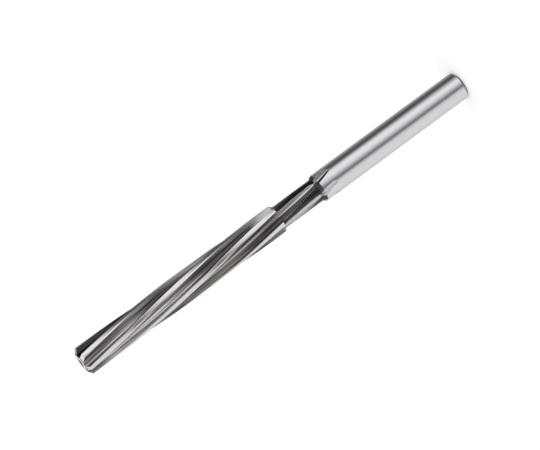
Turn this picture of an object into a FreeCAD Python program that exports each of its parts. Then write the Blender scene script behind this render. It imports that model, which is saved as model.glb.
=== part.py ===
"""Machine reamer, 6 mm, one solid bar of high-speed steel with a parallel shank.

The tool stands upright on the end of its shank: +Z runs along the tool axis from the
centre of the shank's end face to the tip.  It has six teeth on a left-hand helix, cuts
right-handed, and its teeth are unequally spaced in opposite pairs so that it doesn't chatter.

The blank is one revolved bar.  The six flutes are lofted cutters that follow the helix and
leave the work on the arc of the grinding wheel, across the neck and onto the shank.
All sizes are in millimetres and degrees.
"""
import FreeCAD, Part
import math
import os

from FreeCAD import Base

# --- driving dimensions ------------------------------------------------------------------
cutting_diameter = 6.0
overall_length = 93.0
cutting_length = 47.0
neck_length = 10.3           # between the teeth and the shank, both shoulders included
neck_diameter = 4.85
front_shoulder_length = 0.9  # rounded step behind the teeth
rear_shoulder_angle = 40.0   # cone up to the shank, from the axis
shank_diameter = 5.9
shank_chamfer = 0.45

bevel_lead_length = 0.72     # chamfer at the tip that does the cutting, along the axis
bevel_lead_angle = 54.5      # from the axis
bevel_clearance = 12.0       # relief of each tooth's lead

first_pitch = 67.5           # from the first tooth to the second, repeated half a turn on
second_pitch = 55.0
helix_angle = 8.4            # left-hand
rake_angle = 0.0
margin_width = 0.15          # cylindrical land that guides the tool in the hole
primary_land_width = 0.5
primary_clearance = 9.0
secondary_land_width = 0.28
secondary_clearance = 22.0
tooth_back_angle = 4.0       # how much a tooth widens towards its root
core_diameter = 3.95         # circle that the flutes' rounded corners touch
root_radius = 0.5            # of the corners on both sides of a flute's flat floor

wheel_radius = 71.0          # grinding wheel that cuts the flutes
wheel_lean = 50.0            # the way it is withdrawn, from the rake face
wheel_overrun = 0.9          # how far past the teeth the wheel goes before it is withdrawn

centre_hole_diameter = 1.6   # mouth of the lathe centre
centre_cone_angle = 60.0
centre_pilot_diameter = 0.7
centre_pilot_depth = 1.5
drill_point_angle = 118.0    # bottom of the pilot

# --- worked out from them ----------------------------------------------------------------
cutting_radius = cutting_diameter / 2
neck_radius = neck_diameter / 2
shank_radius = shank_diameter / 2
core_radius = core_diameter / 2
teeth_end_z = overall_length - cutting_length
shank_length = teeth_end_z - neck_length
tip_radius = cutting_radius - bevel_lead_length * math.tan(math.radians(bevel_lead_angle))
helix_turn_per_mm = math.degrees(math.tan(math.radians(helix_angle)) / cutting_radius)
half_turn_pitches = (first_pitch, second_pitch, 180.0 - first_pitch - second_pitch)

# --- how the cutters are drawn -----------------------------------------------------------
cutter_margin = 1.0          # how far a cutter reaches past the faces that it leaves through
land_lead_in = 0.08          # how far a land's plane is carried out past the bar
station_spacing = 6.0        # between the sections that a flute is lofted through
corner_arc_sweep = 35.0      # the most that one arc of a flute's rounded corner turns
outside_radius = max(cutting_radius, shank_radius) + cutter_margin

AXIS = Base.Vector(0, 0, 1)
ORIGIN = Base.Vector(0, 0, 0)


def polar(radius, degrees):
    """A point of the section plane, from its radius and angle."""
    turn = math.radians(degrees)
    return Base.Vector(radius * math.cos(turn), radius * math.sin(turn), 0)


def bearing(vector):
    """The angle of a vector of the section plane."""
    return math.degrees(math.atan2(vector.y, vector.x))


def outline(points):
    """Straight edges through a row of points."""
    return [Part.makeLine(start, end) for start, end in zip(points, points[1:])]


def revolved(edges):
    """The solid that a closed outline in the XZ plane makes about the tool axis."""
    return Part.Face(Part.Wire(edges)).revolve(ORIGIN, AXIS, 360)


def front_shoulder():
    """The step behind the teeth: a hollow arc that leaves the neck smoothly."""
    rise = cutting_radius - neck_radius
    foot = Base.Vector(neck_radius, 0, teeth_end_z - front_shoulder_length)
    top = Base.Vector(cutting_radius, 0, teeth_end_z)
    hollow_radius = (front_shoulder_length ** 2 + rise ** 2) / (2 * rise)
    half_sweep = math.atan2(rise, front_shoulder_length)
    inwards = hollow_radius * (1 - math.cos(half_sweep))
    upwards = hollow_radius * math.sin(half_sweep)
    return Part.Arc(foot, foot + Base.Vector(inwards, 0, upwards), top).toShape()


def turned_blank():
    """The bar before its flutes are ground: shank, neck, shoulders and cutting cylinder."""
    rear_rise = shank_radius - neck_radius
    cone_length = rear_rise / math.tan(math.radians(rear_shoulder_angle))
    shank_and_neck = [
        ORIGIN,
        Base.Vector(shank_radius - shank_chamfer, 0, 0),
        Base.Vector(shank_radius, 0, shank_chamfer),
        Base.Vector(shank_radius, 0, shank_length),
        Base.Vector(neck_radius, 0, shank_length + cone_length),
        Base.Vector(neck_radius, 0, teeth_end_z - front_shoulder_length),
    ]
    fluted_part = [
        Base.Vector(cutting_radius, 0, teeth_end_z),
        Base.Vector(cutting_radius, 0, overall_length - bevel_lead_length),
        Base.Vector(tip_radius, 0, overall_length),
        Base.Vector(0, 0, overall_length),
        ORIGIN,
    ]
    return revolved(outline(shank_and_neck) + [front_shoulder()] + outline(fluted_part))


def centre_hole():
    """A lathe centre with its drilled pilot, sunk upwards from z = 0."""
    mouth = centre_hole_diameter / 2
    pilot = centre_pilot_diameter / 2
    cone_depth = (mouth - pilot) / math.tan(math.radians(centre_cone_angle / 2))
    drill_point = pilot / math.tan(math.radians(drill_point_angle / 2))
    corners = [
        Base.Vector(0, 0, -cutter_margin),
        Base.Vector(mouth, 0, -cutter_margin),
        Base.Vector(mouth, 0, 0),
        Base.Vector(pilot, 0, cone_depth),
        Base.Vector(pilot, 0, centre_pilot_depth),
        Base.Vector(0, 0, centre_pilot_depth + drill_point),
    ]
    return revolved(outline(corners + corners[:1]))


def land_points(edge_angle):
    """Corners of a tooth's land, from just outside the bar to its heel.

    The margin stays on the bar's own cylinder.  Behind it the primary and the secondary
    land fall away from the hole at their clearance angles.
    """
    margin_angle = edge_angle - math.degrees(margin_width / cutting_radius)
    margin_end = polar(cutting_radius, margin_angle)
    backwards = margin_angle - 90
    primary = polar(1, backwards - primary_clearance)
    secondary = polar(1, backwards - secondary_clearance)
    primary_end = margin_end + primary * primary_land_width
    heel = primary_end + secondary * secondary_land_width
    return margin_end - primary * land_lead_in, primary_end, heel


def corner_centre(point, wall, across):
    """Centre of the rounded corner that touches the core and the wall through a point.

    The wall's own direction and the one from it into the flute are unit vectors.
    """
    side = root_radius + point.dot(across)
    along = math.sqrt((core_radius + root_radius) ** 2 - side ** 2)
    return wall * along + across * side


def corner_arcs(start, end, centre):
    """A rounded corner as a few short arcs, which keep the long flute's facets few."""
    first = bearing(start - centre)
    sweep = math.degrees((start - centre).getAngle(end - centre))
    count = math.ceil(sweep / corner_arc_sweep)
    half_step = sweep / count / 2
    points = [centre + polar(root_radius, first - half_step * n) for n in range(2 * count + 1)]
    return [Part.Arc(*points[n:n + 3]).toShape() for n in range(0, 2 * count, 2)]


def flute_edges(pitch):
    """The closed section of one flute, in the frame of the tooth whose rake face it cuts.

    That tooth's cutting edge is at angle 0, and the tooth ahead of it is one pitch on.
    A flat floor joins the rounded corners at the rake face and at the back of the tooth ahead.
    """
    edge = polar(cutting_radius, 0)
    rake = polar(1, rake_angle)
    off_rake = polar(1, rake_angle + 90)
    outside, primary_end, heel = land_points(pitch)
    back = polar(1, pitch + tooth_back_angle)
    off_back = polar(1, pitch + tooth_back_angle - 90)
    rake_corner = corner_centre(edge, rake, off_rake)
    back_corner = corner_centre(heel, back, off_back)
    inwards = polar(root_radius, bearing(back_corner - rake_corner) + 90)
    rake_foot = rake_corner - off_rake * root_radius
    back_foot = back_corner - off_back * root_radius
    floor_start = rake_corner + inwards
    floor_end = back_corner + inwards
    rake_top = edge + rake * (outside_radius - cutting_radius)
    cap = polar(outside_radius, bearing(outside))
    return (
        outline([rake_top, rake_foot])
        + corner_arcs(rake_foot, floor_start, rake_corner)
        + outline([floor_start, floor_end])
        + corner_arcs(floor_end, back_foot, back_corner)
        + outline([back_foot, heel, primary_end, outside, cap, rake_top])
    )


def flute_stations():
    """(distance from the tip, lift of the wheel) of each section, from the tip backwards."""
    wheel_stop = cutting_length + wheel_overrun
    straight_steps = math.ceil((wheel_stop + cutter_margin) / station_spacing)
    straight_step = (wheel_stop + cutter_margin) / straight_steps
    stations = [(straight_step * step - cutter_margin, 0.0) for step in range(straight_steps)]
    full_lift = outside_radius - core_radius
    run_out = math.sqrt(2 * wheel_radius * full_lift - full_lift ** 2)
    run_out_steps = 2 * math.ceil(run_out / station_spacing)
    for step in range(run_out_steps + 1):
        travel = run_out * step / run_out_steps
        lift = wheel_radius - math.sqrt(wheel_radius ** 2 - travel ** 2)
        stations.append((wheel_stop + travel, lift))
    return stations


def flute_cutter(pitch):
    """One flute as a solid: its section carried along the helix and lifted at the end."""
    withdrawal = polar(1, wheel_lean)
    sections = []
    for distance, lift in flute_stations():
        wire = Part.Wire(flute_edges(pitch))
        wire.translate(withdrawal * lift)
        wire.rotate(ORIGIN, AXIS, helix_turn_per_mm * distance)
        wire.translate(AXIS * (overall_length - distance))
        sections.append(wire)
    return Part.makeLoft(sections, True, False)


def teeth():
    """(angle of the cutting edge at the tip, pitch to the tooth ahead) of every tooth."""
    found = []
    angle = 0.0
    for pitch in half_turn_pitches * 2:
        found.append((angle, pitch))
        angle += pitch
    return found


def flutes():
    """All the flute cutters, in their places round the bar."""
    by_pitch = {pitch: flute_cutter(pitch) for pitch in set(half_turn_pitches)}
    placed = []
    for angle, pitch in teeth():
        cutter = by_pitch[pitch].copy()
        cutter.rotate(ORIGIN, AXIS, angle)
        placed.append(cutter)
    return placed


def lead_cutter(angle):
    """The flat that relieves one tooth's bevel lead, as a slab that lies outside it.

    The flat starts at the lead's cutting edge and falls away behind it.
    """
    turn = helix_turn_per_mm * bevel_lead_length
    tip_end = polar(tip_radius, angle) + AXIS * overall_length
    corner = polar(cutting_radius, angle + turn) + AXIS * (overall_length - bevel_lead_length)
    middle = (tip_end + corner) * 0.5
    along = (corner - tip_end).normalize()
    backwards = polar(1, angle + turn / 2 - 90)
    outwards = backwards.cross(along).normalize()
    clearance = math.radians(bevel_clearance)
    fall = backwards * math.cos(clearance) - outwards * math.sin(clearance)
    reach = along * cutting_diameter
    spread = fall * cutting_radius
    corners = [
        middle - reach - spread,
        middle + reach - spread,
        middle + reach + spread,
        middle - reach + spread,
    ]
    face = Part.Face(Part.Wire(outline(corners + corners[:1])))
    return face.extrude(fall.cross(along).normalize() * cutting_diameter)


def reamer():
    """The finished tool: blank, flutes, relieved lead, and a lathe centre in each end."""
    ground = turned_blank().cut(flutes())
    relieved = ground.cut([lead_cutter(angle) for angle, _ in teeth()])
    shank_centre = centre_hole()
    tip_centre = centre_hole()
    tip_centre.rotate(ORIGIN, Base.Vector(1, 0, 0), 180)
    tip_centre.translate(AXIS * overall_length)
    return relieved.cut([shank_centre, tip_centre])


os.makedirs("parts", exist_ok=True)
reamer().exportStep("parts/reamer.step")
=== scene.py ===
"""Looks of the machine reamer: ground high-speed steel in a plain white studio.

The CAD node keeps its mesh and gets a procedural steel, with zones worked out from the
place on the tool: ground shank, unground neck, ground lands and fluted grooves.
"""

import math

import bpy
from mathutils import Matrix, Vector

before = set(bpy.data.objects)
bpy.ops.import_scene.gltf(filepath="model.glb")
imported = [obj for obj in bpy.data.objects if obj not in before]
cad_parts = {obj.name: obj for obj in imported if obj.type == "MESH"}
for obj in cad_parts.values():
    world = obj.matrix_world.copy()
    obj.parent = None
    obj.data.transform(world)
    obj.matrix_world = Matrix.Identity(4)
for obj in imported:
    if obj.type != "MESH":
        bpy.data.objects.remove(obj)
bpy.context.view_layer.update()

# --- the tool, in metres, as in the row frame ----------------------------------------------
OVERALL_LENGTH = 0.093
HELIX_TURN = math.radians(2.82) / 0.001   # radians for each metre, left-hand

# --- camera ---------------------------------------------------------------------------------
CAMERA_AZIMUTH = math.radians(-23.5)
CAMERA_ELEVATION = math.radians(13.2)
CAMERA_DISTANCE = 0.42365
CAMERA_AIM_Z = 0.047843
CAMERA_LENS = 146.67
AXIS_LEAN = math.radians(36.342)          # of the tool in the picture, above the horizontal


def math_node(tree, operation, *values):
    """The output of a Math node on sockets or numbers."""
    made = tree.nodes.new("ShaderNodeMath")
    made.operation = operation
    for socket, value in zip(made.inputs, values):
        if isinstance(value, bpy.types.NodeSocket):
            tree.links.new(value, socket)
        else:
            socket.default_value = value
    return made.outputs[0]


def ramp(tree, factor, stops, interpolation="LINEAR"):
    """A colour ramp of grey or coloured (position, colour) stops on a factor socket."""
    made = tree.nodes.new("ShaderNodeValToRGB")
    made.color_ramp.interpolation = interpolation
    elements = made.color_ramp.elements
    while len(elements) < len(stops):
        elements.new(1.0)
    for element, (position, colour) in zip(elements, stops):
        element.position = position
        level = colour if isinstance(colour, tuple) else (colour,) * 3
        element.color = (*level, 1.0)
    tree.links.new(factor, made.inputs["Fac"])
    return made.outputs["Color"]


def blend(tree, factor, first, second):
    """The first colour where the factor is 0 and the second where it is 1."""
    made = tree.nodes.new("ShaderNodeMix")
    made.data_type = "RGBA"
    tree.links.new(factor, made.inputs["Factor"])
    colours = [socket for socket in made.inputs if socket.type == "RGBA"]
    for socket, value in zip(colours, (first, second)):
        if isinstance(value, tuple):
            socket.default_value = (*value, 1.0)
        else:
            tree.links.new(value, socket)
    return [socket for socket in made.outputs if socket.type == "RGBA"][0]


def step(tree, value, low, high):
    """0 below low and 1 above high, with a smooth change between them."""
    made = tree.nodes.new("ShaderNodeMapRange")
    made.interpolation_type = "SMOOTHSTEP"
    made.inputs["From Min"].default_value = low
    made.inputs["From Max"].default_value = high
    tree.links.new(value, made.inputs["Value"])
    return made.outputs["Result"]


def flipped(tree, value):
    return math_node(tree, "SUBTRACT", 1.0, value)


def product(tree, *values):
    total = values[0]
    for value in values[1:]:
        total = math_node(tree, "MULTIPLY", total, value)
    return total


def band(tree, value, low, high, soft):
    """1 between low and high, with a smooth change at each end."""
    return product(
        tree, step(tree, value, low - soft, low + soft),
        flipped(tree, step(tree, value, high - soft, high + soft)))


def any_of(tree, *sockets):
    total = sockets[0]
    for socket in sockets[1:]:
        total = math_node(tree, "MAXIMUM", total, socket)
    return total


# --- studio -----------------------------------------------------------------------------------
# Brightness of what the tool mirrors, by the direction round the tool from the camera, in
# degrees: positive is the side that the upper edge of the tool in the picture doesn't face.
MIRRORED = [
    (-180, 0.60), (-150, 0.50), (-132, 0.42), (-118, 0.20), (-104, 0.10), (-92, 0.07),
    (-82, 0.11), (-72, 0.24), (-62, 0.60), (-52, 0.98), (-40, 1.10), (-20, 1.00),
    (-8, 0.72), (0, 0.58), (8, 0.34), (14, 0.19), (19, 0.15), (24, 0.20),
    (30, 0.52), (38, 0.76), (50, 0.88), (90, 0.90), (130, 0.78), (155, 0.68), (180, 0.60),
]


# How much of the overhead light, and of the cards round the tool, shows at a height: the
# height is the sine of the direction's elevation.
OVERHEAD = [(-1.0, 0.0), (0.45, 0.0), (0.75, 1.0), (1.0, 1.0)]
UNDERNEATH = [(-1.0, 0.0), (-0.75, 0.0), (-0.36, 1.0), (1.0, 1.0)]


def studio_world():
    """White for the camera, a plain level on matt things, and soft dark cards for gloss."""
    world = bpy.data.worlds.new("studio")
    world.use_nodes = True
    world.cycles.sampling_method = "NONE"
    tree = world.node_tree
    tree.nodes.clear()
    place = tree.nodes.new("ShaderNodeTexCoord")
    split = tree.nodes.new("ShaderNodeSeparateXYZ")
    tree.links.new(place.outputs["Generated"], split.inputs[0])
    azimuth = math_node(tree, "ARCTAN2", split.outputs["Y"], split.outputs["X"])
    offset = math_node(tree, "SUBTRACT", CAMERA_AZIMUTH, azimuth)
    turns = math_node(tree, "DIVIDE", offset, 2 * math.pi)
    share = math_node(tree, "FRACT", math_node(tree, "ADD", turns, 0.5))
    round_about = ramp(tree, share, [(angle / 360 + 0.5, level) for angle, level in MIRRORED])
    height = math_node(tree, "ADD", math_node(tree, "MULTIPLY", split.outputs["Z"], 0.5), 0.5)
    above = ramp(tree, height, [((z + 1) / 2, level) for z, level in OVERHEAD])
    below = ramp(tree, height, [((z + 1) / 2, level) for z, level in UNDERNEATH])
    mirrored = blend(tree, above, blend(tree, below, (0.35, 0.35, 0.35), round_about), (1.0, 1.0, 1.0))
    rays = tree.nodes.new("ShaderNodeLightPath")
    seen = blend(tree, rays.outputs["Is Glossy Ray"], (1.0, 1.0, 1.0), mirrored)
    background = tree.nodes.new("ShaderNodeBackground")
    background.inputs["Strength"].default_value = 1.0
    tree.links.new(seen, background.inputs["Color"])
    output = tree.nodes.new("ShaderNodeOutputWorld")
    tree.links.new(background.outputs[0], output.inputs["Surface"])
    bpy.context.scene.world = world


def studio_floor():
    """A plain pale floor that stays white in the open and keeps a soft shadow."""
    half = 3.0
    mesh = bpy.data.meshes.new("floor")
    corners = [(-half, -half, 0), (half, -half, 0), (half, half, 0), (-half, half, 0)]
    mesh.from_pydata(corners, [], [(0, 1, 2, 3)])
    floor = bpy.data.objects.new("floor", mesh)
    bpy.context.scene.collection.objects.link(floor)
    floor.visible_glossy = False
    floor.location.z = -0.00002
    material = bpy.data.materials.new("floor")
    material.use_nodes = True
    tree = material.node_tree
    tree.nodes.clear()
    diffuse = tree.nodes.new("ShaderNodeBsdfDiffuse")
    diffuse.inputs["Color"].default_value = (0.82, 0.82, 0.82, 1.0)
    rays = tree.nodes.new("ShaderNodeLightPath")
    shown = any_of(
        tree,
        rays.outputs["Is Camera Ray"],
        rays.outputs["Is Glossy Ray"],
        rays.outputs["Is Transmission Ray"],
    )
    glow = tree.nodes.new("ShaderNodeEmission")
    tree.links.new(math_node(tree, "MULTIPLY", shown, 0.24), glow.inputs["Strength"])
    both = tree.nodes.new("ShaderNodeAddShader")
    tree.links.new(diffuse.outputs[0], both.inputs[0])
    tree.links.new(glow.outputs[0], both.inputs[1])
    output = tree.nodes.new("ShaderNodeOutputMaterial")
    tree.links.new(both.outputs[0], output.inputs["Surface"])
    mesh.materials.append(material)


# --- camera -------------------------------------------------------------------------------------
def studio_camera():
    """Looks down on the tool, rolled so that it lies across the picture with its tip low."""
    level = Vector((math.cos(CAMERA_AZIMUTH), math.sin(CAMERA_AZIMUTH), 0))
    up = Vector((0, 0, 1))
    back = level * math.cos(CAMERA_ELEVATION) + up * math.sin(CAMERA_ELEVATION)
    along = (up - back * back.z).normalized()
    across = along.cross(back)
    right = -along * math.cos(AXIS_LEAN) - across * math.sin(AXIS_LEAN)
    top = -along * math.sin(AXIS_LEAN) + across * math.cos(AXIS_LEAN)
    place = up * CAMERA_AIM_Z + right * 0.0001026 - top * 0.0000944 + back * CAMERA_DISTANCE
    data = bpy.data.cameras.new("camera")
    data.lens = CAMERA_LENS
    data.sensor_width = 36.0
    data.sensor_fit = "HORIZONTAL"
    data.clip_start = 0.01
    camera = bpy.data.objects.new("camera", data)
    bpy.context.scene.collection.objects.link(camera)
    columns = Matrix((right, top, back)).transposed()
    camera.matrix_world = Matrix.Translation(place) @ columns.to_4x4()
    bpy.context.scene.camera = camera


# --- steel ---------------------------------------------------------------------------------------
def steel():
    """Ground high-speed steel: bright on shank and lands, dark in the flutes and on the neck, with
    painted light and shade.
    """
    material = bpy.data.materials.new("ground steel")
    material.use_nodes = True
    tree = material.node_tree
    shader = tree.nodes["Principled BSDF"]
    shader.inputs["Metallic"].default_value = 1.0
    place = tree.nodes.new("ShaderNodeTexCoord").outputs["Object"]
    split = tree.nodes.new("ShaderNodeSeparateXYZ")
    tree.links.new(place, split.inputs[0])
    x, y, z = (split.outputs[name] for name in "XYZ")
    radius = math_node(tree, "SQRT", math_node(
        tree, "ADD", math_node(tree, "MULTIPLY", x, x), math_node(tree, "MULTIPLY", y, y)))
    facing = tree.nodes.new("ShaderNodeSeparateXYZ")
    geometry = tree.nodes.new("ShaderNodeNewGeometry")
    tree.links.new(geometry.outputs["Normal"], facing.inputs[0])
    turned = math_node(
        tree, "SUBTRACT",
        math_node(tree, "MULTIPLY", facing.outputs["Y"], x),
        math_node(tree, "MULTIPLY", facing.outputs["X"], y))
    forward = math_node(tree, "DIVIDE", turned, radius)   # 1 on a rake face, negative behind

    # where the surface is
    mm = 0.001
    not_behind = step(tree, forward, -0.72, -0.45)
    not_rake = flipped(tree, step(tree, forward, 0.3, 0.5))
    on_teeth = step(tree, z, 45.9 * mm, 46.0 * mm)
    outside = step(tree, radius, 2.72 * mm, 2.78 * mm)
    on_lead = step(tree, z, 92.24 * mm, 92.28 * mm)
    near_axis = flipped(tree, step(tree, radius, 0.8 * mm, 0.84 * mm))
    on_rim = step(tree, z, 45.4 * mm, 45.5 * mm)
    lead = product(tree, on_lead, step(tree, radius, 2.1 * mm, 2.2 * mm))
    land = product(tree, on_rim, any_of(tree, outside, lead), not_behind, not_rake)
    on_shank = flipped(tree, step(tree, z, 35.68 * mm, 35.72 * mm))
    shank = product(tree, on_shank, step(tree, radius, 2.918 * mm, 2.926 * mm))
    on_neck = product(tree, flipped(tree, on_teeth), flipped(tree, on_shank))
    level = math_node(tree, "ABSOLUTE", forward)
    rough_bar = product(
        tree, on_neck, step(tree, radius, 2.375 * mm, 2.39 * mm),
        flipped(tree, step(tree, level, 0.08, 0.14)))
    deepest = math_node(tree, "MULTIPLY_ADD", on_neck, 0.05 * mm, 2.3 * mm)
    deepest = math_node(tree, "MULTIPLY_ADD", on_shank, 0.55 * mm, deepest)
    # painted highlight: a light line along the root of the flutes
    root = product(
        tree, step(tree, forward, 0.1, 0.25), flipped(tree, step(tree, forward, 0.5, 0.7)),
        flipped(tree, math_node(tree, "GREATER_THAN", radius, deepest)))
    # painted shade: the centre hole in the tip's end is made black
    hole = product(tree, on_lead, near_axis)

    # streaks that run along the flutes
    helix = math_node(tree, "MULTIPLY", math_node(tree, "SUBTRACT", OVERALL_LENGTH, z), -HELIX_TURN)
    axis_turn = tree.nodes.new("ShaderNodeVectorRotate")
    axis_turn.rotation_type = "Z_AXIS"
    tree.links.new(place, axis_turn.inputs["Vector"])
    tree.links.new(helix, axis_turn.inputs["Angle"])
    stretch = tree.nodes.new("ShaderNodeVectorMath")
    stretch.operation = "MULTIPLY"
    stretch.inputs[1].default_value = (4000.0, 4000.0, 60.0)
    tree.links.new(axis_turn.outputs[0], stretch.inputs[0])
    streaks = tree.nodes.new("ShaderNodeTexNoise")
    streaks.inputs["Scale"].default_value = 1.0
    streaks.inputs["Detail"].default_value = 3.0
    tree.links.new(stretch.outputs[0], streaks.inputs["Vector"])
    streak = step(tree, streaks.outputs["Fac"], 0.35, 0.7)

    # painted light and shade on flutes, neck and teeth, placed by the angle round the tool with the helix
    # taken out
    unwound = tree.nodes.new("ShaderNodeSeparateXYZ")
    tree.links.new(axis_turn.outputs[0], unwound.inputs[0])
    turn = math_node(
        tree, "MULTIPLY", math_node(tree, "ARCTAN2", unwound.outputs["Y"], unwound.outputs["X"]),
        math.degrees(1))
    # painted highlight: the second flute is made bright, with two painted dark lines in it
    painted_light_flute = product(
        tree, band(tree, turn, -112.5, -76, 1.0), step(tree, z, 66 * mm, 74 * mm),
        flipped(tree, step(tree, z, 87 * mm, 91 * mm)))
    painted_dark_line = any_of(tree, band(tree, turn, -89, -86, 0.8), band(tree, turn, -112.4, -110.5, 0.5))
    # painted shade: the floors of the first two flutes are made dark away from the tip
    first_floor = product(
        tree, band(tree, turn, -57.4, -24, 2.0), flipped(tree, step(tree, z, 76 * mm, 83 * mm)))
    second_floor = product(
        tree, band(tree, turn, -112.4, -82, 2.0), flipped(tree, step(tree, z, 62 * mm, 69 * mm)))
    painted_shade_floor = any_of(tree, first_floor, second_floor)
    # painted shade: the second flute is made dark near the tip
    tip_shade = product(tree, band(tree, turn, -112.5, -76, 1.0), step(tree, z, 87 * mm, 91 * mm))
    behind_teeth = flipped(tree, on_teeth)
    # painted light on the flute behind the teeth, a painted highlight line along it and painted shade in
    # its crease
    lit_neck_flute = product(tree, band(tree, turn, 120, 164, 1.0), behind_teeth)
    neck_highlight_line = product(tree, band(tree, turn, 157.5, 164, 0.7), behind_teeth)
    neck_crease_shade = product(tree, band(tree, turn, 150.5, 157, 0.7), behind_teeth, flipped(tree, on_shank))
    # painted light on the rake-side wall where the flutes run out on the shank
    lit_run_out_wall = product(tree, on_shank, step(tree, forward, 0.4, 0.6))
    # painted shade: one flute is made near black towards the tip
    shaded_flute = product(tree, band(tree, turn, 0.5, 50, 0.5), step(tree, z, 74 * mm, 82 * mm))
    wide_flute = band(tree, turn, -179.5, -131, 0.5)
    # painted shade on the widest flute's rake side and a painted highlight line along its root, as from a
    # rounder floor
    wide_rake = band(tree, turn, -179.5, -154, 1.5)
    wide_root = band(tree, turn, -154.5, -151.0, 0.8)
    # painted light: a bright patch on the teeth next to the neck
    lit_patch = product(
        tree, band(tree, turn, -92, -76, 2.0), on_teeth, flipped(tree, step(tree, z, 48.5 * mm, 52 * mm)))

    # painted highlight: sharp edges, found with the Bevel node, are painted light
    rounded = tree.nodes.new("ShaderNodeBevel")
    rounded.samples = 8
    rounded.inputs["Radius"].default_value = 0.16 * mm
    alike = tree.nodes.new("ShaderNodeVectorMath")
    alike.operation = "DOT_PRODUCT"
    tree.links.new(rounded.outputs[0], alike.inputs[0])
    tree.links.new(geometry.outputs["Normal"], alike.inputs[1])
    edge_highlight = product(
        tree, flipped(tree, step(tree, alike.outputs["Value"], 0.94, 0.99)),
        step(tree, radius, 1.5 * mm, 1.6 * mm), step(tree, z, 36.9 * mm, 37.1 * mm))

    flute = blend(tree, streak, (0.2, 0.185, 0.195), (0.5, 0.475, 0.49))
    rake_shade = blend(tree, step(tree, z, 52 * mm, 60 * mm), (0.1, 0.09, 0.095), (0.22, 0.2, 0.18))
    flute = blend(tree, wide_rake, flute, rake_shade)
    flute = blend(tree, product(tree, root, flipped(tree, wide_flute)), flute, (0.62, 0.61, 0.62))
    wide_root_highlight = blend(tree, behind_teeth, (0.66, 0.65, 0.66), (1.0, 1.0, 1.0))
    flute = blend(tree, wide_root, flute, wide_root_highlight)
    flute = blend(tree, lit_run_out_wall, flute, (0.75, 0.74, 0.75))
    flute = blend(tree, painted_shade_floor, flute, (0.1, 0.09, 0.095))
    flute = blend(tree, painted_light_flute, flute, blend(tree, streak, (0.65, 0.62, 0.63), (0.95, 0.93, 0.94)))
    flute = blend(tree, product(tree, painted_light_flute, painted_dark_line), flute, (0.15, 0.14, 0.145))
    flute = blend(tree, tip_shade, flute, (0.15, 0.145, 0.15))
    flute = blend(tree, lit_neck_flute, flute, (0.62, 0.61, 0.62))
    flute = blend(tree, neck_highlight_line, flute, (1.0, 1.0, 1.0))
    flute = blend(tree, neck_crease_shade, flute, (0.15, 0.14, 0.145))
    flute = blend(tree, shaded_flute, flute, (0.05, 0.048, 0.05))
    flute = blend(tree, lit_patch, flute, (0.62, 0.64, 0.66))
    colour = blend(tree, land, flute, (0.76, 0.75, 0.76))
    # painted highlight: the flat end at the tip is made white
    end_face = product(tree, on_lead, step(tree, facing.outputs["Z"], 0.85, 0.95))
    colour = blend(tree, end_face, colour, (1.0, 1.0, 1.0))
    colour = blend(tree, hole, colour, (0.01, 0.01, 0.01))
    colour = blend(tree, shank, colour, (0.74, 0.737, 0.762))
    colour = blend(tree, rough_bar, colour, (0.06, 0.06, 0.062))
    colour = blend(tree, product(tree, edge_highlight, flipped(tree, shank)), colour, (0.85, 0.84, 0.85))
    tree.links.new(colour, shader.inputs["Base Color"])
    bright = math_node(tree, "MAXIMUM", land, shank)
    smooth = math_node(tree, "MULTIPLY_ADD", bright, -0.08, 0.3)
    tree.links.new(smooth, shader.inputs["Roughness"])
    return material


studio_world()
studio_floor()
studio_camera()

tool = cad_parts["reamer"]
tool.data.materials.clear()
tool.data.materials.append(steel())

bpy.context.scene.view_settings.view_transform = "Standard"
